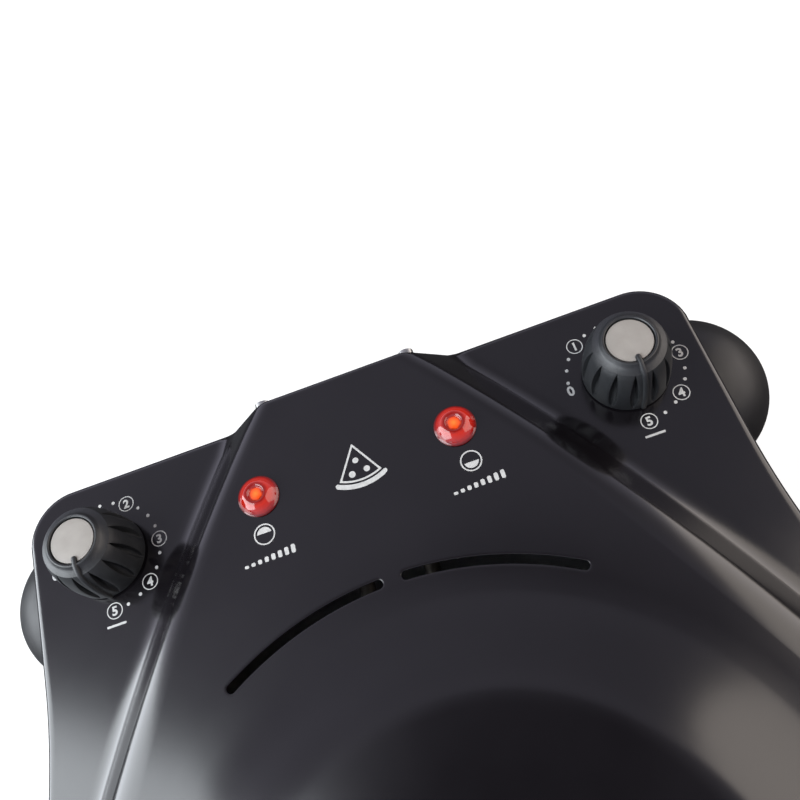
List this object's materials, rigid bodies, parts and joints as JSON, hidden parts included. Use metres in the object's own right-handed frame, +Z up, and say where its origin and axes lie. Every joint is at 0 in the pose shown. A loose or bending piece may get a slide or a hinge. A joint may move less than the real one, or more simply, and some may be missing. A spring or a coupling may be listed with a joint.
{
  "type": "electric pizza maker",
  "caption": "Round tabletop oven with a baking stone, a swinging lid with vent slots and a shallow dome, two fluted dials, pilot lamps and a front grip.",
  "frame": {"origin": "centre of the whole oven's footprint, on the table under its feet", "axes": "+Z up, +Y towards the hinge at the rear, +X to the right as seen by the user at the front handle"},
  "size_m": [0.382, 0.458, 0.1776],
  "materials": {
    "painted_pan": "satin black heat-proof paint",
    "painted_lid": "satin black heat-proof paint",
    "bright_steel": "aluminised sheet",
    "stone": "fired cordierite, matt and fine grained",
    "element_tube": "dark annealed steel tube",
    "black_plastic": "moulded, fine texture",
    "hinge_steel": "zinc plated",
    "screw_steel": "zinc plated",
    "handle_metal": "turned",
    "ceramic": "glazed steatite",
    "wire_sleeve": "silicone sleeve",
    "foot_rubber": "moulded rubber",
    "red_lens": "clear red, glossy",
    "knob_grey": "soft grained",
    "pale_disc": "smooth",
    "spindle_metal": "turned"
  },
  "bodies": {
    "base": {"base_shell": "painted_pan", "base_liner": "bright_steel", "baking_stone": "stone", "stone_rests": "bright_steel", "lower_element": "element_tube", "lower_element_saddles": "bright_steel", "hinge_block": "black_plastic", "hinge_block_cover": "black_plastic", "left_hinge_cap": "black_plastic", "right_hinge_cap": "black_plastic", "hinge_pins": "hinge_steel", "base_terminal_block": "ceramic", "base_wiring": "wire_sleeve", "cord_bushing": "black_plastic", "feet": "foot_rubber", "foot_screws": "screw_steel"},
    "lid": {"lid_shell": "painted_lid", "lid_liner": "bright_steel", "heat_shield": "bright_steel", "upper_element": "element_tube", "upper_element_hangers": "bright_steel", "control_cover": "bright_steel", "cover_screws": "screw_steel", "left_hinge_arm": "hinge_steel", "right_hinge_arm": "hinge_steel", "arm_screws": "screw_steel", "left_thermostat": "ceramic", "right_thermostat": "ceramic", "left_lamp_lens": "red_lens", "right_lamp_lens": "red_lens", "left_lamp_holder": "black_plastic", "right_lamp_holder": "black_plastic", "lamp_nuts": "screw_steel", "lid_terminal_block": "ceramic", "lid_wiring": "wire_sleeve", "handle_grip": "black_plastic", "handle_posts": "handle_metal", "handle_screws": "screw_steel"},
    "left_knob": {"left_knob": "knob_grey", "left_knob_disc": "pale_disc", "left_spindle": "spindle_metal"},
    "right_knob": {"right_knob": "knob_grey", "right_knob_disc": "pale_disc", "right_spindle": "spindle_metal"}
  },
  "joints": [
    {"name": "lid_hinge", "type": "hinge", "parent": "base", "child": "lid", "pos_m": [0, 0.191, 0.084], "axis": [-1, 0, 0], "range_deg": [0, 100]},
    {"name": "left_knob_turn", "type": "hinge", "parent": "lid", "child": "left_knob", "pos_m": [-0.117, 0.188, 0.149], "axis": [0, 0, 1], "range_deg": [0, 270]},
    {"name": "right_knob_turn", "type": "hinge", "parent": "lid", "child": "right_knob", "pos_m": [0.117, 0.188, 0.149], "axis": [0, 0, 1], "range_deg": [0, 270]}
  ]
}
